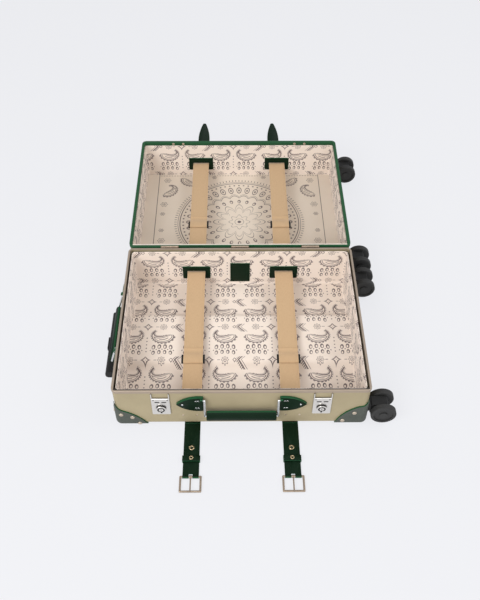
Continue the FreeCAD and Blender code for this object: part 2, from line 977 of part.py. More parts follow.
def handle_grip(tilt):
    """Leather grip between the two links, thickest in the middle of its height."""
    end = handle_half - link_radius - grip_end_gap
    half_edge = grip_edge / 2
    half_height = grip_height / 2
    top_back = Vector(-end, half_edge, half_height)
    top_front = Vector(-end, -half_edge, half_height)
    low_back = Vector(-end, half_edge, -half_height)
    low_front = Vector(-end, -half_edge, -half_height)
    outline = [
        Part.makeLine(top_back, top_front),
        Part.Arc(top_front, Vector(-end, -grip_depth / 2, 0), low_front).toShape(),
        Part.makeLine(low_front, low_back),
        Part.Arc(low_back, Vector(-end, grip_depth / 2, 0), top_back).toShape(),
    ]
    body = Part.Face(Part.Wire(outline)).extrude(Vector(2 * end, 0, 0))
    corners = [e for e in body.Edges if abs(e.Length - grip_edge) < 0.01]
    body = turned(body.makeFillet(grip_round, corners), (0, 0, 0), ALONG_X, -tilt)
    off, height = link_low(tilt)
    body.translate(Vector(0, -off, height))
    for side in (-1, 1):
        start = (side * (handle_half - grip_socket), -off, height)
        body = body.cut(rod(link_pin, start, (side * handle_half, -off, height)))
    return body


def handle_set(piece, *values):
    """The left and right pieces of a handle, in the handle's own frame."""
    return [piece(side, *values) for _, side in SIDES]


def handle_rivets():
    """Rivets of all four handle patches."""
    heads = []
    for _, side in SIDES:
        for head in handle_patch_rivets(side):
            heads.append(to_front(head))
            heads.append(to_left(head))
    return heads


bezel_face = -half_length - bezel_thickness
sleeve_end = bezel_face + tube_travel + tube_overlap
middle_radius = sleeve_radius - tube_wall - tube_clearance
inner_radius = middle_radius - tube_wall - tube_clearance
trolley_grip_back = bezel_face - trolley_grip_gap
trolley_grip_face = trolley_grip_back - trolley_grip_depth


def tube_pair(outer, start, end):
    """Two trolley tubes of one stage."""
    tubes = [
        pipe(outer, outer - tube_wall, (start, y, tube_height), (end, y, tube_height))
        for y in tube_places()
    ]
    return Part.makeCompound(tubes)


def trolley_bezel():
    """Plate on the left wall that the sleeves end in."""
    plate = rounded_block(
        bezel_face,
        -half_length + edge_radius,
        base.middle - bezel_length / 2,
        base.middle + bezel_length / 2,
        tube_height - bezel_height / 2,
        tube_height + bezel_height / 2,
        bezel_corner,
        ALONG_X,
    )
    plate = plate.cut(shell_form(base))
    for y in tube_places():
        plate = plate.cut(rod(sleeve_radius, (bezel_face, y, tube_height), (0, y, tube_height)))
    return plate


def trolley_grip():
    """Bar of the trolley handle with its two collars and the pocket for the button."""
    bar = rounded_block(
        trolley_grip_face,
        trolley_grip_back,
        base.middle - trolley_grip_length / 2,
        base.middle + trolley_grip_length / 2,
        tube_height - trolley_grip_height / 2,
        tube_height + trolley_grip_height / 2,
        trolley_grip_edge,
        ALONG_Y,
    )
    collar_end = bezel_face - middle_proud - body_gap
    socket_end = trolley_grip_back - tube_socket
    tube_lines = [((collar_end, y, tube_height), (socket_end, y, tube_height)) for y in tube_places()]
    body = bar
    for start, end in tube_lines:
        body = body.fuse(rod(trolley_collar, start, end))
    for start, end in tube_lines:
        body = body.cut(rod(inner_radius, start, end))
    room_y = button_length / 2 + button_clearance
    room_z = button_height / 2 + button_clearance
    pocket = block(
        trolley_grip_face,
        trolley_grip_face + button_depth,
        base.middle - room_y,
        base.middle + room_y,
        tube_height - room_z,
        tube_height + room_z,
    )
    return body.cut(pocket).removeSplitter()


def trolley_button():
    """Release button in the bar."""
    return block(
        trolley_grip_face - button_proud,
        trolley_grip_face + button_depth - button_proud,
        base.middle - button_length / 2,
        base.middle + button_length / 2,
        tube_height - button_height / 2,
        tube_height + button_height / 2,
    )


def strap_axis(half):
    """Y and Z of the line where a strap bends up from the underside of a half."""
    return half.front + half.outward * strap_proud, half.floor - strap_thickness / 2


def strap_run(half, side):
    """Strap under one half and up its rear wall."""
    way = half.outward
    axis_y, _ = strap_axis(half)
    start = axis_y - way * (strap_thickness / 2 + body_gap)
    bend_y = half.rear + way * edge_radius
    bend_z = half.floor + edge_radius + strip_thickness
    near = edge_radius + strip_thickness
    far = near + strap_thickness
    top = base_height - strap_below_rim
    slant = math.sqrt(0.5)
    x = side * strap_x - strap_width / 2

    def at(y, z):
        return Vector(x, y, z)

    def bend(radius):
        middle = at(bend_y - way * radius * slant, bend_z - radius * slant)
        return Part.Arc(at(bend_y, bend_z - radius), middle, at(bend_y - way * radius, bend_z)).toShape()

    lines = [
        Part.makeLine(at(start, half.floor), at(bend_y, half.floor)),
        bend(near),
        Part.makeLine(at(bend_y - way * near, bend_z), at(bend_y - way * near, top)),
        Part.makeLine(at(bend_y - way * near, top), at(bend_y - way * far, top)),
        Part.makeLine(at(bend_y - way * far, top), at(bend_y - way * far, bend_z)),
        bend(far),
        Part.makeLine(at(bend_y, bend_z - far), at(start, half.floor - strap_thickness)),
        Part.makeLine(at(start, half.floor - strap_thickness), at(start, half.floor)),
    ]
    section = Part.Face(Part.Wire(Part.__sortEdges__(lines)))
    return section.extrude(Vector(strap_width, 0, 0))


def strap_runs(half):
    """Both strap runs of a half."""
    return Part.makeCompound([strap_run(half, side) for _, side in SIDES])


flap_y, flap_z = strap_axis(base)
buckle_y = flap_y - flap_length
buckle_z = buckle_fold + body_gap


def strap_flap(side):
    """Buckle end of a strap, lying on the floor in front of the base."""
    x0 = side * strap_x - strap_width / 2
    x1 = x0 + strap_width
    under = flap_z - strap_thickness / 2
    over = flap_z + strap_thickness / 2
    band = block(x0, x1, flap_y, buckle_y, under, over)
    bend = rod(strap_thickness / 2, (x0, flap_y, flap_z), (x1, flap_y, flap_z))
    fold = rod(buckle_fold, (x0, buckle_y, buckle_z), (x1, buckle_y, buckle_z))
    keeper_y = flap_y - keeper_from_axis
    keeper = block(
        x0 - keeper_wall,
        x1 + keeper_wall,
        keeper_y,
        keeper_y - keeper_width,
        body_gap,
        over + keeper_room + keeper_wall,
    )
    room = block(x0, x1, keeper_y, keeper_y - keeper_width, under, over + keeper_room)
    body = fuse_all([band, bend, fold, keeper.cut(room)])
    bore = rod(buckle_wire + buckle_clearance, (x0, buckle_y, buckle_z), (x1, buckle_y, buckle_z))
    middle = side * strap_x
    slot = block(
        middle - buckle_slot / 2,
        middle + buckle_slot / 2,
        buckle_y - 2 * buckle_fold,
        buckle_y + 2 * buckle_fold,
        0,
        4 * buckle_fold,
    )
    body = body.cut(bore).cut(slot)
    for distance in flap_eyelets:
        y = flap_y - distance
        body = body.cut(rod(eyelet_radius, (middle, y, 0), (middle, y, over + 2 * keeper_room)))
    return body


def strap_buckle(side):
    """Wire buckle with its prong."""
    middle = side * strap_x
    left = middle - buckle_width / 2
    right = middle + buckle_width / 2
    front = buckle_y - buckle_length
    corners = [(left, buckle_y), (right, buckle_y), (right, front), (left, front)]
    pieces = []
    for index, (x, y) in enumerate(corners):
        next_x, next_y = corners[(index + 1) % len(corners)]
        pieces.append(rod(buckle_wire, (x, y, buckle_z), (next_x, next_y, buckle_z)))
        pieces.append(ball(buckle_wire, (x, y, buckle_z)))
    ring_half = prong_ring_width / 2
    ring_ends = [(middle + side * ring_half, buckle_y, buckle_z) for side in (-1, 1)]
    pieces.append(rod(prong_ring, *ring_ends))
    prong_end = buckle_z + buckle_wire + prong_radius / 2
    prong_start = (middle, buckle_y, buckle_z + prong_radius)
    pieces.append(rod(prong_radius, prong_start, (middle, front - buckle_wire, prong_end)))
    return fuse_all(pieces)


def strap_tip(side):
    """Pointed end of a strap, lying on the floor behind the lid."""
    axis_y, axis_z = strap_axis(lid)
    middle = side * strap_x
    half_width = strap_width / 2
    end = axis_y + tip_length
    shoulder = end - tip_taper
    under = axis_z - strap_thickness / 2

    def at(across, y):
        return Vector(middle + across, y, under)

    right_side = Part.Arc(
        at(half_width, shoulder), at(tip_belly, end - tip_belly_from_end), at(tip_nose, end - tip_nose)
    )
    nose = Part.Arc(at(tip_nose, end - tip_nose), at(0, end), at(-tip_nose, end - tip_nose))
    left_side = Part.Arc(
        at(-tip_nose, end - tip_nose), at(-tip_belly, end - tip_belly_from_end), at(-half_width, shoulder)
    )
    outline = [
        Part.makeLine(at(-half_width, axis_y), at(half_width, axis_y)),
        Part.makeLine(at(half_width, axis_y), at(half_width, shoulder)),
        right_side.toShape(),
        nose.toShape(),
        left_side.toShape(),
        Part.makeLine(at(-half_width, shoulder), at(-half_width, axis_y)),
    ]
    band = Part.Face(Part.Wire(outline)).extrude(Vector(0, 0, strap_thickness))
    bend = rod(
        strap_thickness / 2, (middle - half_width, axis_y, axis_z), (middle + half_width, axis_y, axis_z)
    )
    return fuse_all([band, bend])


base_webbing_start = base.front + base_lining_face
base_webbing_end = base.rear - base_lining_face - anchor_thickness
lid_webbing_start = lid.rear + lid_lining_face
lid_webbing_end = lid.front - lid_lining_face - anchor_thickness


def webbing(side, start, end, start_height, end_height):
    """One packing strap pulled straight between two walls."""
    x = side * webbing_x - webbing_width / 2
    outline = [
        Vector(x, start, start_height),
        Vector(x, end, end_height),
        Vector(x, end, end_height + webbing_thickness),
        Vector(x, start, start_height + webbing_thickness),
        Vector(x, start, start_height),
    ]
    return Part.Face(Part.makePolygon(outline)).extrude(Vector(webbing_width, 0, 0))


def base_webbing():
    """Packing straps of the base."""
    straps = [
        webbing(side, base_webbing_start, base_webbing_end, base_webbing_front, base_webbing_rear)
        for _, side in SIDES
    ]
    return Part.makeCompound(straps)


def lid_webbing():
    """Packing straps of the lid."""
    straps = [
        webbing(side, lid_webbing_start, lid_webbing_end, lid_webbing_height, lid_webbing_height)
        for _, side in SIDES
    ]
    return Part.makeCompound(straps)


def anchors(face, top):
    """Leather anchors of the webbing on one wall, each rounded at its lower end."""
    pieces = []
    for _, side in SIDES:
        x = side * webbing_x
        plate = block(
            x - anchor_width / 2,
            x + anchor_width / 2,
            face - anchor_thickness,
            face,
            top - anchor_height,
            top,
        )
        low = [e for e in edges_along(plate, ALONG_Y) if e.BoundBox.ZMax < top - anchor_height / 2]
        pieces.append(plate.makeFillet(anchor_round, low))
    return Part.makeCompound(pieces)


webbing_slope = math.atan2(base_webbing_rear - base_webbing_front, base_webbing_end - base_webbing_start)


def slider(side, y, z, slope):
    """Adjuster around a packing strap, centred on it."""
    x = side * webbing_x
    room_x = webbing_width / 2 + slider_clearance
    room_z = webbing_thickness / 2 + slider_clearance
    start = y - slider_length / 2
    end = y + slider_length / 2
    body = rounded_block(
        x - slider_width / 2,
        x + slider_width / 2,
        start,
        end,
        z - slider_thickness / 2,
        z + slider_thickness / 2,
        slider_round,
        ALONG_X,
    )
    body = body.cut(block(x - room_x, x + room_x, start, end, z - room_z, z + room_z))
    return turned(body, (x, y, z), ALONG_X, math.degrees(slope))


def base_slider(side):
    """Slider on a packing strap of the base."""
    height = base_webbing_front + base_slider_from_front * math.tan(webbing_slope) + webbing_thickness / 2
    return slider(side, base_webbing_start + base_slider_from_front, height, webbing_slope)


def lid_slider(side):
    """Slider on a packing strap of the lid."""
    return slider(side, lid_slider_from_hinge, lid_webbing_height + webbing_thickness / 2, 0.0)


def webbing_rivets():
    """Rivets on the front wall that hold the packing straps."""
    heads = []
    for _, side in SIDES:
        for distance in webbing_rivet_x:
            point = (side * distance, base.front, webbing_rivet_height)
            heads.append(rivet(point, (0, -1, 0), small_rivet_radius, small_rivet_head))
    return heads


def leather_tag():
    """Plain leather patch inside the rear wall of the base."""
    face = base.rear - base_lining_face
    return block(-tag_width / 2, tag_width / 2, face - tag_thickness, face, tag_top - tag_height, tag_top)


def all_nodes():
    """Every node of the case, by name."""
    nodes = {
        "base_shell": base_shell(),
        "base_rim_strip": base_rim(),
        "base_lining": base_lining(),
        "base_corner_guards": corner_guards(base),
        "base_rivets": Part.makeCompound(corner_rivets(base) + webbing_rivets()),
        "base_caster_housings": caster_housings(base),
        "base_strap_runs": strap_runs(base),
        "base_webbing": base_webbing(),
        "base_webbing_anchors": anchors(base.rear - base_lining_face, base_anchor_top),
        "base_hinge_leaves": hinge_leaves(base),
        "hinge_pins": hinge_pins(),
        "leather_tag": leather_tag(),
        "lock_plates": Part.makeCompound([lock_plate(side) for _, side in SIDES]),
        "front_handle_patches": Part.makeCompound([to_front(p) for p in handle_set(handle_patch)]),
        "side_handle_patches": Part.makeCompound([to_left(p) for p in handle_set(handle_patch)]),
        "handle_rivets": Part.makeCompound(handle_rivets()),
        "front_handle_links": Part.makeCompound(
            [to_front(p) for p in handle_set(handle_link, front_handle_tilt)]
        ),
        "side_handle_links": Part.makeCompound(
            [to_left(p) for p in handle_set(handle_link, side_handle_tilt)]
        ),
        "front_handle_grip": to_front(handle_grip(front_handle_tilt)),
        "side_handle_grip": to_left(handle_grip(side_handle_tilt)),
        "trolley_bezel": trolley_bezel(),
        "trolley_sleeves": tube_pair(sleeve_radius, bezel_face, sleeve_end),
        "trolley_middle_tubes": tube_pair(
            middle_radius, bezel_face - middle_proud, sleeve_end - tube_step_back
        ),
        "trolley_inner_tubes": tube_pair(
            inner_radius, trolley_grip_back - tube_socket, sleeve_end - 2 * tube_step_back
        ),
        "trolley_grip": trolley_grip(),
        "trolley_button": trolley_button(),
        "lid_shell": shell(lid),
        "lid_binding": lid_binding(),
        "lid_lining": lid_lining(),
        "lid_corner_guards": corner_guards(lid),
        "lid_rivets": Part.makeCompound(corner_rivets(lid) + hasp_rivets()),
        "lid_caster_housings": caster_housings(lid),
        "lid_strap_runs": strap_runs(lid),
        "lid_webbing": lid_webbing(),
        "lid_webbing_anchors": anchors(lid.front - lid_lining_face, lid_anchor_top),
        "lid_hinge_leaves": hinge_leaves(lid),
        "hasp_leaves": Part.makeCompound([hasp_leaf(side) for _, side in SIDES]),
    }
    for name, side in SIDES:
        nodes["lock_knob_" + name] = lock_knob(side)
        nodes["hasp_" + name] = hasp(side)
        nodes["strap_flap_" + name] = strap_flap(side)
        nodes["strap_buckle_" + name] = strap_buckle(side)
        nodes["strap_tip_" + name] = strap_tip(side)
        nodes["base_slider_" + name] = base_slider(side)
        nodes["lid_slider_" + name] = lid_slider(side)
    for half_name, half in (("base", base), ("lid", lid)):
        for place, at_front in (("front", True), ("rear", False)):
            nodes["caster_fork_" + half_name + "_" + place] = caster_fork(half, at_front)
            nodes["caster_wheels_" + half_name + "_" + place] = caster_wheels(half, at_front)
    return nodes


# The origin is on the floor, in the middle of the plan of the open case
left_end = trolley_grip_face - button_proud
right_end = wheel_x + wheel_radius
front_end = buckle_y - buckle_length - buckle_wire
rear_end = strap_axis(lid)[0] + tip_length
to_origin = Vector(-(left_end + right_end) / 2, -(front_end + rear_end) / 2, 0)


os.makedirs("parts", exist_ok=True)
for node_name, node_shape in all_nodes().items():
    node_shape = node_shape.copy()
    node_shape.translate(to_origin)
    node_shape.exportStep("parts/" + node_name + ".step")
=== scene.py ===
"""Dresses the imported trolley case: prints, leather, webbing, metal, light and camera."""

import math

import bmesh
import bpy
from mathutils import Euler, Matrix, Vector, noise


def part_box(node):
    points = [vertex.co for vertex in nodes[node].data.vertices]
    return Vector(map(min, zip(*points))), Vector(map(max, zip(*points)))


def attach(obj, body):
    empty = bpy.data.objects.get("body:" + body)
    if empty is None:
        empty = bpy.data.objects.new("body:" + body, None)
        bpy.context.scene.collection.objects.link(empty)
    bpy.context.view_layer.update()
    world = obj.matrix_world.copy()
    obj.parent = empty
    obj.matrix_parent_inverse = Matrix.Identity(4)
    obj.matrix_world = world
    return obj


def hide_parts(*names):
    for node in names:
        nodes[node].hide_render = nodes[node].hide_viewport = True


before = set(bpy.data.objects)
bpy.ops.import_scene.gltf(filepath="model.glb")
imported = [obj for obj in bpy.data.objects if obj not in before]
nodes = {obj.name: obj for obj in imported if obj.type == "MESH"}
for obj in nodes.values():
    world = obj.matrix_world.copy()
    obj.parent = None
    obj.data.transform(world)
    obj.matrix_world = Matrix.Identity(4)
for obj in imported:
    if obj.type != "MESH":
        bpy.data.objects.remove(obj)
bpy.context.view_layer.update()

# Places are worked out in millimetres from the middle of the case, the hinge axis and the floor

MM = 0.001
shell_low, shell_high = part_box("base_shell")
pin_low, pin_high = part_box("hinge_pins")
case_x = (shell_low.x + shell_high.x) / 2
hinge_y = (pin_low.y + pin_high.y) / 2


def spot(x, y, z):
    """A place on the case in millimetres, as metres in the shared frame."""
    return Vector((case_x + x * MM, hinge_y + y * MM, z * MM))


# Colours, as linear light

FIBRE = (0.370, 0.312, 0.196)
FIBRE_DARK = (0.300, 0.250, 0.152)
RIM = (0.360, 0.288, 0.222)
# Painted shade of the gap between the base's rim strip and its lining
RIM_GAP_SHADE = (0.030, 0.024, 0.020)
LEATHER = (0.002, 0.011, 0.004)
LEATHER_WORN = (0.006, 0.022, 0.010)
GUARD = (0.062, 0.072, 0.062)
GUARD_WORN = (0.122, 0.132, 0.118)
EDGE_GREEN = (0.018, 0.105, 0.042)
BINDING = (0.022, 0.075, 0.034)
CLOTH = (0.850, 0.755, 0.680)
CLOTH_SHADE = (0.760, 0.655, 0.565)
FLOOR_CLOTH = (0.760, 0.670, 0.575)
FLOOR_SHADE = (0.680, 0.585, 0.480)
INK = (0.095, 0.068, 0.074)
TAN = (0.600, 0.410, 0.235)
TAN_DARK = (0.470, 0.310, 0.170)
IVORY = (0.640, 0.540, 0.430)
BRASS = (0.420, 0.335, 0.210)
CHAMPAGNE = (0.400, 0.318, 0.240)
CHROME = (0.780, 0.785, 0.790)
TUBE = (0.550, 0.560, 0.570)
NICKEL = (0.830, 0.805, 0.770)
# Painted shade in the locks' recesses and on their side walls
RECESS_SHADE = (0.030, 0.028, 0.026)
BLACK = (0.011, 0.011, 0.011)
RUBBER = (0.026, 0.026, 0.026)
STUDIO = (0.855, 0.863, 0.896)

# Width of the tan face of the base's rim strip along its front, up to the painted shade of the gap along
# its inner edge, and how much wider it is along the sides, in millimetres

RIM_STRIP_FACE = 3.5
RIM_STRIP_MORE = 1.1

# Along the hinge the base's rim strip has no painted gap shade, and a hem of the lid's lining covers the
# inner part of the lid's binding: widths in millimetres

RIM_STRIP_PLAIN = 9.0
BINDING_SHOWN = 3.2
BINDING_RING = 8.0

# How far the lock plates' faces are in front of the shell, and the knobs' faces in front of the plates

LOCK_PLATE_OUT = 2.2
LOCK_KNOB_OUT = 3.0

# Steps along the sides and round the corners of a lining

LONG_STEPS = 64
SHORT_STEPS = 48
CORNER_STEPS = 6

# Where the print starts on the walls, and the seams beside the panel on the lid's floor

WALL_PRINT_START = 41
FLOOR_SEAM = 208.0

# Platform of the base lining over the trolley tubes

PLATFORM_MIDDLE = -186.0
PLATFORM_HALF = 70.0
PLATFORM_RISE = 18.0
PLATFORM_SLOPE = 16.0

# Packing webbing, its folds over the sliders, and how steeply it rises along the base

WEBBING_WIDTH = 40.0
WEBBING_THICK = 1.6
WEBBING_X = 98.0
WRAP_THICK = 1.1
BASE_WEBBING_SLOPE = 18.0 / 361.0

# Eyelets of the straps: distance from the strap's bend, height of the leather there, and size

STRAP_X = 96.0
STRAP_BEND_Y = -387.0
EYELETS = ((53.0, 3.0, 1.0), (77.0, 7.6, 0.8))

# Light, and the floor's size in metres

WORLD_LIGHT = 0.6
FLOOR_GLOW = 0.86
FLOOR_REACH = 9.0

# The photograph's camera: lens, place, and angles in degrees

CAMERA_LENS = 45.12
CAMERA_PLACE = (-12.6, -1190.0, 1272.0)
CAMERA_TILT = 41.673
CAMERA_PAN = -0.625
CAMERA_ROLL = 0.25


class Field:
    """A number that varies over a surface, as the output of a shader node."""

    def __init__(self, socket):
        self.socket = socket
        self.tree = socket.id_data

    def math(self, operation, *others, clamp=False):
        node = self.tree.nodes.new("ShaderNodeMath")
        node.operation = operation
        node.use_clamp = clamp
        for socket, value in zip(node.inputs, (self, *others)):
            if isinstance(value, Field):
                self.tree.links.new(value.socket, socket)
            else:
                socket.default_value = value
        return Field(node.outputs[0])

    def __add__(self, other):
        return self.math("ADD", other)

    def __sub__(self, other):
        return self.math("SUBTRACT", other)

    def __mul__(self, other):
        return self.math("MULTIPLY", other)

    def __truediv__(self, other):
        return self.math("DIVIDE", other)

    def __abs__(self):
        return self.math("ABSOLUTE")

    def higher(self, other):
        return self.math("MAXIMUM", other)

    def lower(self, other):
        return self.math("MINIMUM", other)

    def sine(self):
        return self.math("SINE")

    def cosine(self):
        return self.math("COSINE")

    def power(self, exponent):
        return self.math("POWER", exponent)

    def exponent(self):
        return self.math("EXPONENT")

    def angle(self, across):
        """The angle whose tangent is this over the number across."""
        return self.math("ARCTAN2", across)

    def wrapped(self, period):
        """Repeats with this period, from minus half of it to half of it."""
        return self.math("WRAP", period / 2, -period / 2)

    def below(self, limit, soft):
        """One where the number is under the limit, falling to nothing over a soft edge."""
        return self.math("MULTIPLY_ADD", -1 / soft, limit / soft + 0.5, clamp=True)


class Surface:
    """A material being put together, with short ways to add its nodes."""

    def __init__(self, name, **values):
        self.material = bpy.data.materials.new(name)
        self.material.use_nodes = True
        self.tree = self.material.node_tree
        self.shader = self.tree.nodes["Principled BSDF"]
        for name, value in values.items():
            self.shader.inputs[name.replace("_", " ")].default_value = value

    def add(self, kind):
        return self.tree.nodes.new(kind)

    def link(self, socket, target):
        self.tree.links.new(socket, target)

    def place(self, uv=False):
        """The surface's own coordinates in metres: its print map, or its place on the case."""
        return self.add("ShaderNodeTexCoord").outputs["UV" if uv else "Object"]

    def axes(self, place):
        """The numbers along each axis of a place, in millimetres."""
        split = self.add("ShaderNodeSeparateXYZ")
        self.link(place, split.inputs[0])
        return [Field(output) * 1000.0 for output in split.outputs]

    def noise(self, place, scale, detail=3.0, rough=0.55):
        node = self.add("ShaderNodeTexNoise")
        node.inputs["Scale"].default_value = scale
        node.inputs["Detail"].default_value = detail
        node.inputs["Roughness"].default_value = rough
        self.link(place, node.inputs["Vector"])
        return Field(node.outputs[0])

    def cells(self, place, scale):
        """Rounded cells, as on pebbled leather: low between them and high in their middles."""
        node = self.add("ShaderNodeTexVoronoi")
        node.feature = "SMOOTH_F1"
        node.inputs["Scale"].default_value = scale
        node.inputs["Smoothness"].default_value = 0.35
        self.link(place, node.inputs["Vector"])
        return Field(node.outputs["Distance"]) * -1.0 + 1.0

    def stretched(self, place, scale):
        """A place scaled differently along each axis."""
        node = self.add("ShaderNodeMapping")
        node.inputs["Scale"].default_value = scale
        self.link(place, node.inputs["Vector"])
        return node.outputs[0]

    def mixed(self, share, first, second):
        """A colour that goes from first to second with the share."""
        node = self.add("ShaderNodeMix")
        node.data_type = "RGBA"
        sockets = {socket.identifier: socket for socket in (*node.inputs, *node.outputs)}
        self.link(share.socket, sockets["Factor_Float"])
        for name, colour in (("A_Color", first), ("B_Color", second)):
            if isinstance(colour, tuple):
                sockets[name].default_value = (*colour, 1)
            else:
                self.link(colour, sockets[name])
        return sockets["Result_Color"]

    def colour(self, socket):
        self.link(socket, self.shader.inputs["Base Color"])

    def roughness(self, field, low, high):
        node = self.add("ShaderNodeMapRange")
        node.inputs["To Min"].default_value = low
        node.inputs["To Max"].default_value = high
        self.link(field.socket, node.inputs["Value"])
        self.link(node.outputs[0], self.shader.inputs["Roughness"])

    def bump(self, height, depth, strength=1.0):
        """Relief of this depth in metres where the height goes from nothing to one."""
        node = self.add("ShaderNodeBump")
        node.inputs["Strength"].default_value = strength
        node.inputs["Distance"].default_value = depth
        self.link(height.socket, node.inputs["Height"])
        self.link(node.outputs[0], self.shader.inputs["Normal"])


# Hard materials

def fibre_board():
    """Khaki vulcanised fibre: faint cloudy mottling, fine flecks, a satin skin."""
    made = Surface("fibre_board", Specular_IOR_Level=0.35)
    place = made.place()
    clouds = made.noise(place, 14, 5, 0.6)
    flecks = made.noise(place, 420, 2, 0.7)
    mottled = made.mixed(clouds.below(0.45, 0.5), FIBRE, FIBRE_DARK)
    made.colour(made.mixed(flecks.below(0.36, 0.2) * 0.35, mottled, FIBRE_DARK))
    made.roughness(clouds, 0.46, 0.62)
    made.bump(flecks + clouds * 0.6, 0.00012, 0.5)
    return made.material


def rim_metal():
    """Tan satin metal strip with a brushed grain along it, and painted shade of the gap along its inner
    edge.
    """
    made = Surface("rim_metal", Metallic=0.25, Specular_IOR_Level=0.5)
    place = made.place()
    grain = made.noise(made.stretched(place, (40, 40, 900)), 1.0, 4)
    wear = made.noise(place, 22, 4)
    dark = tuple(part * 0.78 for part in RIM)
    strip = made.mixed(grain * 0.6 + wear * 0.3, dark, RIM)
    low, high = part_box("base_rim_strip")
    across, deep, _ = made.axes(place)
    beside = abs(across - (low.x + high.x) / 2 / MM) - (high.x - low.x) / 2 / MM
    before = abs(deep - (low.y + high.y) / 2 / MM) - (high.y - low.y) / 2 / MM
    # Painted shade: a dark band along the strip's inner edge stands in for the shadow in the gap beside
    # the lining
    gap_shade = (beside + RIM_STRIP_MORE).higher(before).below(-RIM_STRIP_FACE, 0.3)
    clear_of_hinge = deep.below(high.y / MM - RIM_STRIP_PLAIN, 0.3)
    made.colour(made.mixed(gap_shade * clear_of_hinge, strip, RIM_GAP_SHADE))
    made.roughness(grain, 0.32, 0.5)
    made.bump(grain, 0.00004, 0.6)
    return made.material


def polished(name, colour, low, high):
    """Plated metal with soft smears and fine hairline scratches."""
    made = Surface(name, Metallic=1.0)
    place = made.place()
    smears = made.noise(place, 70, 4)
    scratches = made.noise(made.stretched(place, (1500, 120, 700)), 1.0, 3)
    dull = tuple(part * 0.82 for part in colour)
    made.colour(made.mixed(smears.below(0.5, 0.4), colour, dull))
    made.roughness(smears * 0.7 + scratches * 0.3, low, high)
    made.bump(scratches, 0.00003, 0.4)
    return made.material


def lock_metal(name, face):
    """Satin nickel with a fine grain, and painted shade wherever it lies behind its face."""
    made = Surface(name, Metallic=1.0)
    place = made.place()
    _, deep, _ = made.axes(place)
    grain = made.noise(made.stretched(place, (180, 900, 1800)), 1.0, 3)
    dull = tuple(part * 0.8 for part in NICKEL)
    # Painted shade: every surface more than half a millimetre behind the face is made dark, in recesses,
    # slots and on side walls
    behind = (deep * -1.0).below(-face - 0.5, 0.25)
    made.colour(made.mixed(behind, made.mixed(grain, dull, NICKEL), RECESS_SHADE))
    made.roughness(grain, 0.26, 0.42)
    made.bump(grain, 0.00003, 0.4)
    return made.material


def moulded(name, colour, low, high, grain):
    """Black plastic or rubber with a fine spark-eroded grain and dusty patches."""
    made = Surface(name, Specular_IOR_Level=0.18)
    place = made.place()
    dust = made.noise(place, 45, 4)
    sparks = made.noise(place, grain, 2, 0.7)
    dusty = tuple(part * 1.7 + 0.004 for part in colour)
    made.colour(made.mixed(dust * 0.6, colour, dusty))
    made.roughness(dust, low, high)
    made.bump(sparks, 0.00008, 0.6)
    return made.material


# Leather and cloth

def hem_at_hinge(made, place):
    """Where the hem of the lid's lining is turned over the binding along the hinge."""
    low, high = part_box("lid_binding")
    across, deep, _ = made.axes(place)
    from_edge = deep - low.y / MM
    beside = abs(across - (low.x + high.x) / 2 / MM)
    inner = (from_edge * -1.0).below(-BINDING_SHOWN, 0.3) * from_edge.below(BINDING_RING, 0.3)
    return inner * beside.below((high.x - low.x) / 2 / MM - BINDING_RING, 0.3)


def leather(name, colour, worn, cell=620, low=0.42, high=0.6, hem=None):
    """Pebbled leather: rounded grain cells, deeper colour between them, rubbed tops."""
    made = Surface(name, Specular_IOR_Level=0.10)
    place = made.place()
    pebbles = made.cells(place, cell)
    rubbed = made.noise(place, 32, 4)
    skin = made.mixed(pebbles * rubbed, colour, worn)
    made.colour(made.mixed(hem(made, place), skin, CLOTH) if hem else skin)
    made.roughness(rubbed, low, high)
    made.bump(pebbles + made.noise(place, cell * 3) * 0.25, 0.00022, 0.7)
    return made.material


def edge_paint(name, colour):
    """The painted cut edge of leather: glossy, a little uneven."""
    made = Surface(name, Specular_IOR_Level=0.2)
    place = made.place()
    uneven = made.noise(place, 140, 4)
    dark = tuple(part * 0.6 for part in colour)
    made.colour(made.mixed(uneven, dark, colour))
    made.roughness(uneven, 0.28, 0.45)
    made.bump(uneven, 0.0001, 0.5)
    return made.material


def webbing_cloth():
    """Flat woven tape: ribs across, cords along, slubs in the yarn."""
    made = Surface("webbing_cloth", Roughness=0.8, Sheen_Weight=0.2, Sheen_Roughness=0.5)
    place = made.place(uv=True)
    across, along, _ = made.axes(place)
    ribs = (along * (2 * math.pi / 1.1)).sine() * 0.5 + 0.5
    cords = (across * (2 * math.pi / 2.4)).cosine() * 0.5 + 0.5
    slubs = made.noise(made.stretched(place, (900, 160, 1)), 1.0, 4)
    hem = (abs(across) * -1.0 + WEBBING_WIDTH / 2).below(1.6, 0.6)
    shade = (cords * 0.25 + slubs * 0.5 + hem * 0.25).below(0.42, 0.5)
    made.colour(made.mixed(shade, TAN, TAN_DARK))
    made.bump(ribs * 0.5 + cords * 0.7 + slubs * 0.4, 0.0002, 0.7)
    return made.material


# Printed cloth

def line(distance, limit, width, soft=0.5):
    """Ink where the distance is within half the width of the limit."""
    return abs(distance - limit).below(width / 2, soft)


def length(along, up):
    """How far a point is from the middle of a motif."""
    return (along * along + up * up).power(0.5)


def oval(along, up, half_long, half_high):
    """One on the edge of an oval, less inside it."""
    return length(along / half_long, up / half_high)


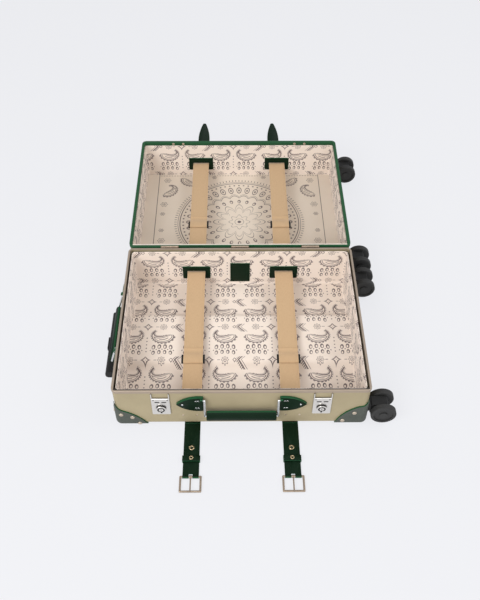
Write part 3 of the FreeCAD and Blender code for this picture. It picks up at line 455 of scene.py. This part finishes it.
def drop_ink(along, up):
    """A curled drop 46 mm long on a spiral: feathered outline, inner outline, vein and hooked tail."""
    x = along * 1.15 + 11.0
    y = up * 1.22 - 10.0
    radius = length(x, y)
    turn = (x * 0.866 - y * 0.5).angle(x * -0.5 - y * 0.866) * -1.0 + 1.92
    share = (turn / 3.84).higher(0.0).lower(1.0)
    off = radius - (turn * -0.32).exponent() * 33.0
    depth = abs(off) - share.power(0.5) * (share * -1.0 + 1.0).power(2.5) * 45.0
    feather = line(depth, 2.2, 4.4) * (turn * 26.0).sine().below(0.1, 0.7)
    vein = line(off, 0.0, 2.0) * line(share, 0.22, 0.22, 0.02)
    inner = line(depth, -4.6, 1.7) * share.below(0.6, 0.02)
    lines = line(depth, 0.0, 2.6).higher(feather * 0.8).higher(inner).higher(vein)
    return lines * (turn * -1.0).below(0.0, 0.03) * turn.below(3.84, 0.03)


def rosette_ink(radius, angle, size, petals):
    """A small flower: wavy outline, ring and middle dot."""
    wavy = radius - (angle * petals).cosine() * (size * 0.18)
    ring = line(radius, size * 0.5, 0.9)
    return line(wavy, size, 1.2).higher(ring).higher(radius.below(size * 0.2, 0.5))


def arrow_ink(along, up):
    """A feathered arrow head, open to the right, with a small diamond at its point."""
    rise = abs(up)
    off = rise - along - 5.0
    feather = line(off, 4.6, 6.4) * line((along + rise).wrapped(4.6), 0.0, 2.2)
    head = line(off, 0.0, 3.0).higher(feather).higher(line(off, -5.5, 1.3)) * rise.below(13.5, 0.6)
    diamond = line(abs(along + 13.0) + rise, 3.8, 1.6)
    return head.higher(diamond) * abs(along).below(19.0, 0.6)


def seed_ink(along, up, half_long, half_high):
    """A small seed, thick on one side."""
    hollow = oval(along - 0.5, up + 0.9, half_long * 0.52, half_high * 0.56)
    return oval(along, up, half_long, half_high).below(1.0, 0.2) * (hollow.below(1.0, 0.3) * -1.0 + 1.0)


def paisley_ink(u, v):
    """All-over print: rows of flowers, stars and arrows, mirrored drops, and two rows of seeds."""
    cell = 66.0
    row = 88.0
    whole = u.wrapped(2 * cell)
    from_middle = abs(whole)
    along = from_middle - cell / 2
    up = v.wrapped(row)
    arc = up + along * along * 0.006
    group = abs(along).below(24.0, 0.5)
    step = (along + 6.0).wrapped(12.0)
    seeds = seed_ink(step, arc + 17.0, 3.8, 6.0).higher(seed_ink(step, arc + 31.5, 3.5, 5.4)) * group
    dots = length((along + 12.0).wrapped(12.0), arc + 24.3).below(1.3, 0.5)
    bead = length(from_middle - cell, (up + 4.0).wrapped(9.0)).below(1.4, 0.5)
    bead = bead * abs(up + 12.0).below(22.0, 0.5)
    high = up - 36.0
    flower = rosette_ink(length(along, high), high.angle(along), 6.6, 8)
    dash = line(along, 13.0, 6.0) * line(high, 0.0, 1.2)
    star = (from_middle * -1.0 + cell).power(0.6) + abs(high).power(0.6)
    star = line(star, 3.9, 1.1).higher(star.below(1.2, 0.5))
    motifs = flower.higher(dash).higher(star).higher(arrow_ink(whole, high))
    return drop_ink(along * -1.0, up - 11.0).higher(seeds).higher(dots).higher(bead).higher(motifs)


def medallion_ink(u, v):
    """A round flower in rings of petals, seeds, scallops and leaves, with drops and flowers outside."""
    radius = length(u, v)
    angle = v.angle(u)
    flower = rosette_ink(radius, angle, 22.0, 8)
    petals = line(radius - abs((angle * 6).cosine()) * 24.0, 40.0, 1.9)
    inner_petals = line(radius - abs((angle * 6).cosine()) * 18.0, 34.0, 1.1)
    seeds = seed_ink(angle.wrapped(math.pi / 12) * 76.0, radius - 76.0, 4.0, 6.5)
    scallops = radius - abs((angle * 12).sine()) * 9.0
    wreath = line(scallops, 90.0, 2.0).higher(line(scallops, 95.0, 1.1))
    leaf = oval(angle.wrapped(math.pi / 18) * 120.0, radius - 120.0, 6.0, 11.0)
    leaves = line(leaf, 0.95, 0.28, 0.12).higher(leaf.below(0.36, 0.2))
    dots = length(angle.wrapped(math.pi / 36) * 139.0, radius - 139.0).below(2.2, 0.6)
    hoop = line(radius, 147.0, 2.0).higher(line(radius, 152.0, 1.1))
    fringe = line(radius, 158.0, 6.0) * line(angle.wrapped(math.pi / 60) * 158.0, 0.0, 1.7)
    figure = flower.higher(petals).higher(inner_petals).higher(seeds).higher(wreath)
    figure = figure.higher(leaves).higher(dots).higher(hoop).higher(fringe)
    wide = abs(u)
    tall = abs(v)
    for across, up, lean in ((180.0, 118.0, 0.9), (128.0, 158.0, -0.5)):
        x = wide - across
        y = tall - up
        turned_x = x * math.cos(lean) - y * math.sin(lean)
        figure = figure.higher(drop_ink(turned_x, x * math.sin(lean) + y * math.cos(lean)))
    beside = ((190.0, 66.0, 7.5), (186.0, 160.0, 7.5), (192.0, 30.0, 5.0))
    beyond = ((94.0, 168.0, 6.0), (64.0, 172.0, 5.0))
    for across, up, size in beside + beyond:
        x = wide - across
        y = tall - up
        figure = figure.higher(rosette_ink(length(x, y), y.angle(x), size, 6))
    stitches = line(v, 179.0, 1.6) * line(u.wrapped(7.0), 0.0, 4.2)
    return figure.higher(stitches) * wide.below(206.0, 1.0)


def printed_cloth(name, draw, light, shade, seam=None):
    """Cream lining cloth with a soft brown print, and dark seams at this distance from the middle."""
    made = Surface(name, Roughness=0.85, Sheen_Weight=0.15, Sheen_Roughness=0.5)
    place = made.place(uv=True)
    u, v, _ = made.axes(place)
    worn = made.noise(place, 16, 4)
    yarn = made.noise(made.stretched(place, (1500, 500, 1)), 1.0, 3)
    ink = draw(u, v) * (worn * 0.5 + yarn * 0.3 + 0.55)
    if seam:
        ink = ink.higher(line(abs(u), seam, 1.6) * 0.9)
    cloth = made.mixed(worn * 0.7 + yarn * 0.3, shade, light)
    made.colour(made.mixed(ink, cloth, INK))
    made.bump(yarn + worn * 0.5, 0.00015, 0.6)
    return made.material


# Meshes

def mesh_piece(name, places, faces, material, uvs=None):
    """A smooth mesh from places in millimetres, with a print map in metres."""
    mesh = bpy.data.meshes.new(name)
    mesh.from_pydata([spot(*place) for place in places], [], faces)
    mesh.materials.append(material)
    mesh.shade_smooth()
    if uvs:
        layer = mesh.uv_layers.new(name="print")
        for loop in mesh.loops:
            layer.data[loop.index].uv = uvs[loop.vertex_index]
    piece = bpy.data.objects.new(name, mesh)
    bpy.context.scene.collection.objects.link(piece)
    return piece


def net(rows, first=0):
    """Places and faces of a net of points, from rows of equal length."""
    width = len(rows[0])
    faces = []
    for row in range(len(rows) - 1):
        for column in range(width - 1):
            corner = first + row * width + column
            faces.append((corner, corner + 1, corner + width + 1, corner + width))
    return [place for row in rows for place in row], faces


def spread(start, end, steps):
    """Evenly spaced numbers from start to end."""
    return [start + (end - start) * step / steps for step in range(steps + 1)]


# Linings

def rounded_path(half_width, near, far, radius):
    """Points round a rectangle with rounded corners, from the middle of its near side and back."""
    corners = [
        (half_width - radius, near + radius, -90, LONG_STEPS // 2),
        (half_width - radius, far - radius, 0, SHORT_STEPS),
        (radius - half_width, far - radius, 90, LONG_STEPS),
        (radius - half_width, near + radius, 180, SHORT_STEPS),
    ]
    points = []
    previous = Vector((0, near))
    for x, y, start, steps in corners:
        turn = [math.radians(angle) for angle in spread(start, start + 90, CORNER_STEPS)]
        arc = [Vector((x + radius * math.cos(angle), y + radius * math.sin(angle))) for angle in turn]
        points += [previous.lerp(arc[0], step / steps) for step in range(steps)]
        points += arc[:-1]
        previous = arc[-1]
    half = LONG_STEPS // 2
    points += [previous.lerp(Vector((0, near)), step / half) for step in range(half + 1)]
    return points


def puckered(x, y, size):
    """Soft random swelling from nothing to one, for cloth that isn't quite taut."""
    return min(max(0.5 + 0.8 * noise.noise(Vector((x / size, y / size, 3.7))), 0.0), 1.0)


class Tray:
    """The inside of a half: its lining's inner faces in millimetres, and its softness."""

    def __init__(self, node, wall, corner, edge, swell):
        low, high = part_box(node)
        self.half_width = (high.x - low.x) / 2 / MM - wall
        self.near = (low.y - hinge_y) / MM + wall
        self.far = (high.y - hinge_y) / MM - wall
        self.floor = low.z / MM + wall
        self.top = high.z / MM
        self.wall = wall
        self.corner = corner
        self.edge = edge
        self.swell = swell

    def profile(self):
        """Inset and height down the wall, from the turned-over hem to the floor."""
        steps = [(-self.wall, self.top - 0.8), (-self.wall / 2, self.top), (-0.2, self.top - 0.6)]
        steps += [(0.0, z) for z in spread(self.top - 2.5, self.floor + self.edge, 14)]
        for angle in spread(15, 90, 5):
            inset = self.edge * (1 - math.cos(math.radians(angle)))
            steps.append((inset, self.floor + self.edge - self.edge * math.sin(math.radians(angle))))
        return steps

    def walls(self):
        """Rows of places round the wall, and how far each is along the cloth."""
        rows = []
        uvs = []
        down = 0.0
        before = None
        for inset, z in self.profile():
            if before:
                down += math.dist(before, (inset, z))
            before = (inset, z)
            corner = max(self.corner - inset, 0.3)
            path = rounded_path(self.half_width - inset, self.near + inset, self.far - inset, corner)
            middle = Vector((0, (self.near + self.far) / 2))
            share = (z - self.floor) / (self.top - self.floor)
            fullness = self.swell * math.sin(math.pi * min(max(share, 0), 1))
            row = []
            along = 0.0
            for index, point in enumerate(path):
                if index:
                    along += (point - path[index - 1]).length
                inward = (middle - point).normalized()
                loose = 1.0 if abs(point.x) > self.half_width - self.corner else 0.2
                moved = point + inward * fullness * loose * puckered(along, z * 1.6, 34)
                row.append((moved.x, moved.y, z))
                uvs.append((along * MM, (WALL_PRINT_START - down) * MM))
            rows.append(row)
        return rows, uvs

    def floor_net(self, lift):
        """Rows of places over the floor, raised by the lift at each depth."""
        middle = (self.near + self.far) / 2
        rows = []
        uvs = []
        for y in spread(self.near + self.edge, self.far - self.edge, 72):
            row = []
            for x in spread(-self.half_width, self.half_width, 80):
                row.append((x, y, self.floor + lift(y) + 0.8 * puckered(x, y, 40)))
                uvs.append((x * MM, (y - middle) * MM))
            rows.append(row)
        return rows, uvs

    def area(self):
        """Area of the cloth's cut in square metres: the floor and the wall round it."""
        width = 2 * self.half_width * MM
        depth = (self.far - self.near) * MM
        return width * depth + 2 * (width + depth) * (self.top - self.floor) * MM


def lining(name, node, body, tray, wall_cloth, floor_cloth, lift):
    """One half's lining: printed walls with a hem, and a printed floor."""
    wall_rows, wall_uvs = tray.walls()
    floor_rows, floor_uvs = tray.floor_net(lift)
    wall_places, wall_faces = net(wall_rows)
    floor_places, floor_faces = net(floor_rows, len(wall_places))
    places = wall_places + floor_places
    faces = wall_faces + floor_faces
    piece = mesh_piece(name, places, faces, wall_cloth, wall_uvs + floor_uvs)
    piece.data.materials.append(floor_cloth)
    for polygon in piece.data.polygons[len(wall_faces):]:
        polygon.material_index = 1
    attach(piece, body)
    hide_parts(node)
    tray.area()


def platform(y):
    """How far the base lining rises over the trolley tubes, with soft shoulders."""
    inside = PLATFORM_HALF + PLATFORM_SLOPE / 3 - abs(y - PLATFORM_MIDDLE)
    share = min(max(inside / PLATFORM_SLOPE, 0), 1)
    return PLATFORM_RISE * share * share * (3 - 2 * share)


def flat_floor(y):
    """The lid lining's floor has no rise at any depth."""
    return 0.0


# Finishes of the solids that show as they are

def dress(material, *names):
    """Gives solids one finish."""
    for name in names:
        mesh = nodes[name].data
        mesh.materials.clear()
        mesh.materials.append(material)


fibre = fibre_board()
rim = rim_metal()
guard_leather = leather("guard_leather", GUARD, GUARD_WORN)
dark_leather = leather("dark_leather", LEATHER, LEATHER_WORN)
strap_leather = leather("strap_leather", LEATHER, LEATHER_WORN, cell=900)
green_edge = edge_paint("green_edge", EDGE_GREEN)
binding_leather = leather("binding_leather", BINDING, EDGE_GREEN, cell=900, hem=hem_at_hinge)
chrome = polished("chrome", CHROME, 0.10, 0.28)
champagne = polished("champagne", CHAMPAGNE, 0.18, 0.34)
plate_face = shell_low.y / MM - LOCK_PLATE_OUT
plate_nickel = lock_metal("plate_nickel", plate_face)
knob_nickel = lock_metal("knob_nickel", plate_face - LOCK_KNOB_OUT)
tube_metal = polished("tube_metal", TUBE, 0.22, 0.36)
ivory_metal = polished("ivory_metal", IVORY, 0.3, 0.45)
brass = polished("brass", BRASS, 0.22, 0.4)
plastic = moulded("black_plastic", BLACK, 0.38, 0.55, 1600)
rubber = moulded("wheel_rubber", RUBBER, 0.45, 0.65, 900)
webbing_tan = webbing_cloth()

casters = [half + "_" + end for half in ("base", "lid") for end in ("front", "rear")]
dress(fibre, "base_shell", "lid_shell")
dress(rim, "base_rim_strip")
dress(ivory_metal, "base_rivets", "lid_rivets")
dress(plate_nickel, "lock_plates")
dress(knob_nickel, "lock_knob_left", "lock_knob_right")
dress(chrome, "hasp_leaves", "hasp_left", "hasp_right")
dress(chrome, "front_handle_links", "side_handle_links", "handle_rivets")
dress(champagne, "strap_buckle_left", "strap_buckle_right")
dress(champagne, "base_hinge_leaves", "lid_hinge_leaves", "hinge_pins")
dress(tube_metal, "trolley_sleeves", "trolley_middle_tubes", "trolley_inner_tubes")
dress(plastic, "trolley_bezel", "trolley_grip", "trolley_button")
dress(plastic, "base_caster_housings", "lid_caster_housings")
dress(plastic, *("caster_fork_" + name for name in casters))
dress(plastic, *(half + "_slider_" + side for half in ("base", "lid") for side in ("left", "right")))
dress(rubber, *("caster_wheels_" + name for name in casters))


# Leather in place of the plain solids

def leather_piece(name, node, body, face, is_cut, softening, is_ring=False):
    """A leather part the size of its solid: grained faces, painted cut edges, softened corners.

    Triangles that lie flat together are joined first, except on a ring, whose opening that would close.
    """
    mesh = nodes[node].data.copy()
    mesh.name = name
    mesh.materials.clear()
    mesh.materials.append(face)
    mesh.materials.append(green_edge)
    shape = bmesh.new()
    shape.from_mesh(mesh)
    bmesh.ops.remove_doubles(shape, verts=shape.verts, dist=0.01 * MM)
    if not is_ring:
        bmesh.ops.dissolve_limit(
            shape, angle_limit=math.radians(1), verts=shape.verts, edges=shape.edges, delimit={"NORMAL"}
        )
    shape.normal_update()
    for polygon in shape.faces:
        polygon.material_index = 1 if is_cut(polygon.normal) else 0
        polygon.smooth = True
    shape.to_mesh(mesh)
    shape.free()
    piece = bpy.data.objects.new(name, mesh)
    bpy.context.scene.collection.objects.link(piece)
    bevel = piece.modifiers.new("softened", "BEVEL")
    bevel.width = softening * MM
    bevel.segments = 2
    bevel.limit_method = "ANGLE"
    bevel.angle_limit = math.radians(50)
    bevel.harden_normals = True
    bevel.material = 1
    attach(piece, body)
    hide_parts(node)


def faces_up(normal):
    return normal.z > 0.25


def faces_down(normal):
    return normal.z < -0.5


def faces_up_or_down(normal):
    return abs(normal.z) > 0.8


def faces_sideways(normal):
    return abs(normal.x) > 0.7


def not_flat_on_floor(normal):
    return abs(normal.z) < 0.7


def not_flat_on_front(normal):
    return abs(normal.y) < 0.7


def not_flat_on_side(normal):
    return abs(normal.x) < 0.7


for half in ("base", "lid"):
    leather_piece(half + "_guard_leather", half + "_corner_guards", half, guard_leather, faces_up, 0.9)
    leather_piece(half + "_run_leather", half + "_strap_runs", half, strap_leather, faces_sideways, 0.35)
    anchors = half + "_webbing_anchors"
    leather_piece(half + "_anchor_leather", anchors, half, dark_leather, not_flat_on_front, 0.4)
for side in ("left", "right"):
    for end in ("flap", "tip"):
        strap = "strap_" + end + "_" + side
        leather_piece(strap + "_leather", strap, strap, strap_leather, not_flat_on_floor, 0.35)
leather_piece("binding_piece", "lid_binding", "lid", binding_leather, faces_down, 0.8, is_ring=True)
leather_piece("tag_leather", "leather_tag", "base", dark_leather, not_flat_on_front, 0.4)
for end, is_cut in (("front", not_flat_on_front), ("side", not_flat_on_side)):
    leather_piece(end + "_patch_leather", end + "_handle_patches", "base", dark_leather, is_cut, 0.5)
for end in ("front", "side"):
    handle = end + "_handle"
    leather_piece(end + "_grip_leather", handle + "_grip", handle, dark_leather, faces_up_or_down, 0.5)


# Webbing

def band(path, middle, thick, first):
    """Places, faces and print map of a tape along (y, z) points, numbered from first."""
    half = WEBBING_WIDTH / 2
    across = [-half, 0.7 - half, -half / 2, 0.0, half / 2, half - 0.7, half]
    ring = [(x, thick / 2 if abs(x) < half else 0.0) for x in across]
    ring += [(x, -thick / 2) for x in reversed(across[1:-1])]
    count = len(ring)
    places = []
    faces = []
    uvs = []
    along = 0.0
    for index, (y, z) in enumerate(path):
        before = Vector(path[max(index - 1, 0)])
        after = Vector(path[min(index + 1, len(path) - 1)])
        up = Vector((before.y - after.y, after.x - before.x)).normalized()
        along += (Vector((y, z)) - before).length
        for x, rise in ring:
            places.append((middle + x, y + up.x * rise, z + up.y * rise))
            uvs.append((x * MM, along * MM))
        if index:
            start = first + (index - 1) * count
            end = start + count
            for step in range(count):
                beside = (step + 1) % count
                faces.append((start + step, start + beside, end + beside, end + step))
    last = first + len(places) - count
    faces.append(tuple(range(first, first + count)))
    faces.append(tuple(range(last, last + count)))
    return places, faces, uvs


def webbing(half):
    """The two packing bands of a half, drawn out along their solids with a faint waviness."""
    low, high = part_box(half + "_webbing")
    near = (low.y - hinge_y) / MM
    far = (high.y - hinge_y) / MM
    near_z = low.z / MM + WEBBING_THICK / 2
    far_z = high.z / MM - WEBBING_THICK / 2
    places = []
    faces = []
    uvs = []
    for middle in (-WEBBING_X, WEBBING_X):
        path = []
        for share in spread(0, 1, 60):
            y = near + (far - near) * share
            wave = 0.25 * noise.noise(Vector((y / 40, middle, 0.5)))
            path.append((y, near_z + (far_z - near_z) * share + wave))
        more_places, more_faces, more_uvs = band(path, middle, WEBBING_THICK, len(places))
        places += more_places
        faces += more_faces
        uvs += more_uvs
    piece = mesh_piece(half + "_tape", places, faces, webbing_tan, uvs)
    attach(piece, half)
    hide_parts(half + "_webbing")


def slider_wrap(half, side, slope):
    """The fold of webbing over a slider, with its sewn-down tail on the hinge's far side."""
    body = half + "_slider_" + side
    low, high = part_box(body)
    middle = ((low.x + high.x) / 2 - case_x) / MM
    y = ((low.y + high.y) / 2 - hinge_y) / MM
    top = (high.z - low.z) / 2 / MM + 0.9
    level = (low.z + high.z) / 2 / MM
    over = [(26.0, 2.0), (18.0, 2.0), (13.0, 2.3), (10.8, top - 0.9), (9.0, top), (0.0, top + 0.2)]
    over += [(-9.0, top), (-10.6, top - 0.7), (-11.2, top - 2.0), (-11.2, 1.9)]
    path = [(y + along, level + along * slope + rise) for along, rise in over]
    places, faces, uvs = band(path, middle, WRAP_THICK, 0)
    under = [(-11.2, -1.9), (-11.0, 1.4 - top), (-9.0, -top), (0.0, -top - 0.2)]
    under += [(9.0, -top), (11.0, 1.4 - top), (11.2, -1.9)]
    path = [(y + along, level + along * slope + rise) for along, rise in under]
    more_places, more_faces, more_uvs = band(path, middle, WRAP_THICK, len(places))
    places += more_places
    faces += more_faces
    piece = mesh_piece(body + "_wrap", places, faces, webbing_tan, uvs + more_uvs)
    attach(piece, body)


for half, slope in (("base", BASE_WEBBING_SLOPE), ("lid", 0.0)):
    webbing(half)
    for side in ("left", "right"):
        slider_wrap(half, side, slope)


# Eyelets of the strap holes

def eyelet(name, body, x, y, z, size):
    """A pressed brass ring round a strap hole, closed by dark leather a little way down."""
    profile = [(0.2, -0.9), (1.4, -0.9), (2.5, -0.7)]
    profile += [(2.6, 0.35), (3.2, 0.75), (4.1, 0.8), (5.0, 0.45), (5.3, 0.05)]
    turn = [math.radians(angle) for angle in spread(0, 360, 28)]
    rows = []
    for radius, rise in profile:
        reach = radius * size
        rows.append([(x + reach * math.cos(t), y + reach * math.sin(t), z + rise) for t in turn])
    places, faces = net(rows)
    piece = mesh_piece(name, places, faces, brass)
    piece.data.materials.append(dark_leather)
    for polygon in piece.data.polygons[:2 * (len(turn) - 1)]:
        polygon.material_index = 1
    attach(piece, body)


for side, x in (("left", -STRAP_X), ("right", STRAP_X)):
    for place, (away, top, size) in enumerate(EYELETS):
        name = "eyelet_" + side + "_" + str(place)
        eyelet(name, "strap_flap_" + side, x, STRAP_BEND_Y - away, top, size)


# Linings in place

drop_print = printed_cloth("paisley_cloth", paisley_ink, CLOTH, CLOTH_SHADE)
round_print = printed_cloth("medallion_cloth", medallion_ink, FLOOR_CLOTH, FLOOR_SHADE, seam=FLOOR_SEAM)
base_tray = Tray("base_lining", wall=2.0, corner=5.0, edge=4.0, swell=1.5)
lid_tray = Tray("lid_lining", wall=2.0, corner=4.5, edge=1.0, swell=4.0)
lining("base_cloth", "base_lining", "base", base_tray, drop_print, drop_print, platform)
lining("lid_cloth", "lid_lining", "lid", lid_tray, drop_print, round_print, flat_floor)


# Floor, light and camera

def studio_glow(tree, share):
    """How much a ray sees the plain studio colour: all of it for camera, glossy and clear rays."""
    path = tree.nodes.new("ShaderNodeLightPath")
    seen = Field(path.outputs["Is Camera Ray"]).higher(Field(path.outputs["Is Glossy Ray"]))
    return seen.higher(Field(path.outputs["Is Transmission Ray"])) * share


def studio_floor():
    """A wide pale floor that keeps a faint shadow of the case."""
    made = bpy.data.materials.new("studio_floor")
    made.use_nodes = True
    tree = made.node_tree
    paper = tree.nodes["Principled BSDF"]
    paper.inputs["Base Color"].default_value = (0.80, 0.80, 0.82, 1)
    paper.inputs["Roughness"].default_value = 0.9
    glow = tree.nodes.new("ShaderNodeEmission")
    glow.inputs["Color"].default_value = (*STUDIO, 1)
    mix = tree.nodes.new("ShaderNodeMixShader")
    tree.links.new(studio_glow(tree, FLOOR_GLOW).socket, mix.inputs[0])
    tree.links.new(paper.outputs[0], mix.inputs[1])
    tree.links.new(glow.outputs[0], mix.inputs[2])
    tree.links.new(mix.outputs[0], tree.nodes["Material Output"].inputs["Surface"])
    mesh = bpy.data.meshes.new("floor")
    corners = [(x * FLOOR_REACH, y * FLOOR_REACH, 0) for x, y in ((-1, -1), (1, -1), (1, 1), (-1, 1))]
    mesh.from_pydata(corners, [], [(0, 1, 2, 3)])
    mesh.materials.append(made)
    floor = bpy.data.objects.new("floor", mesh)
    bpy.context.scene.collection.objects.link(floor)


def studio_world():
    """Even pale light from all round, which camera rays see as the studio colour."""
    world = bpy.data.worlds.new("studio")
    bpy.context.scene.world = world
    world.use_nodes = True
    tree = world.node_tree
    light = tree.nodes["Background"]
    light.inputs["Color"].default_value = (1.0, 0.985, 0.97, 1)
    light.inputs["Strength"].default_value = WORLD_LIGHT
    seen = tree.nodes.new("ShaderNodeBackground")
    seen.inputs["Color"].default_value = (*STUDIO, 1)
    mix = tree.nodes.new("ShaderNodeMixShader")
    tree.links.new(studio_glow(tree, 1.0).socket, mix.inputs[0])
    tree.links.new(light.outputs[0], mix.inputs[1])
    tree.links.new(seen.outputs[0], mix.inputs[2])
    tree.links.new(mix.outputs[0], tree.nodes["World Output"].inputs["Surface"])


def softbox(name, place, width, height, power):
    """A soft rectangular light aimed at the case: place and size in metres, power in watts."""
    lamp = bpy.data.lights.new(name, "AREA")
    lamp.shape = "RECTANGLE"
    lamp.size = width
    lamp.size_y = height
    lamp.energy = power
    made = bpy.data.objects.new(name, lamp)
    made.location = place
    made.rotation_euler = (-Vector(place)).to_track_quat("-Z", "Y").to_euler()
    bpy.context.scene.collection.objects.link(made)


def photo_camera():
    """The photograph's view: from in front and above, upright frame."""
    data = bpy.data.cameras.new("camera")
    data.lens = CAMERA_LENS
    data.clip_start = 0.05
    camera = bpy.data.objects.new("camera", data)
    camera.location = spot(*CAMERA_PLACE)
    aim = Euler((math.radians(CAMERA_TILT), 0, math.radians(CAMERA_PAN))).to_matrix()
    roll = Matrix.Rotation(math.radians(CAMERA_ROLL), 3, "Z")
    camera.rotation_euler = (aim @ roll).to_euler()
    bpy.context.scene.collection.objects.link(camera)
    bpy.context.scene.camera = camera


studio_floor()
studio_world()
softbox("key", (-1.5, -2.0, 2.0), 1.6, 1.2, 54)
softbox("front", (0.2, -2.6, 1.1), 2.0, 1.0, 12)
softbox("fill", (1.7, -0.3, 1.9), 1.4, 1.2, 18)
photo_camera()
bpy.context.scene.view_settings.view_transform = "Standard"
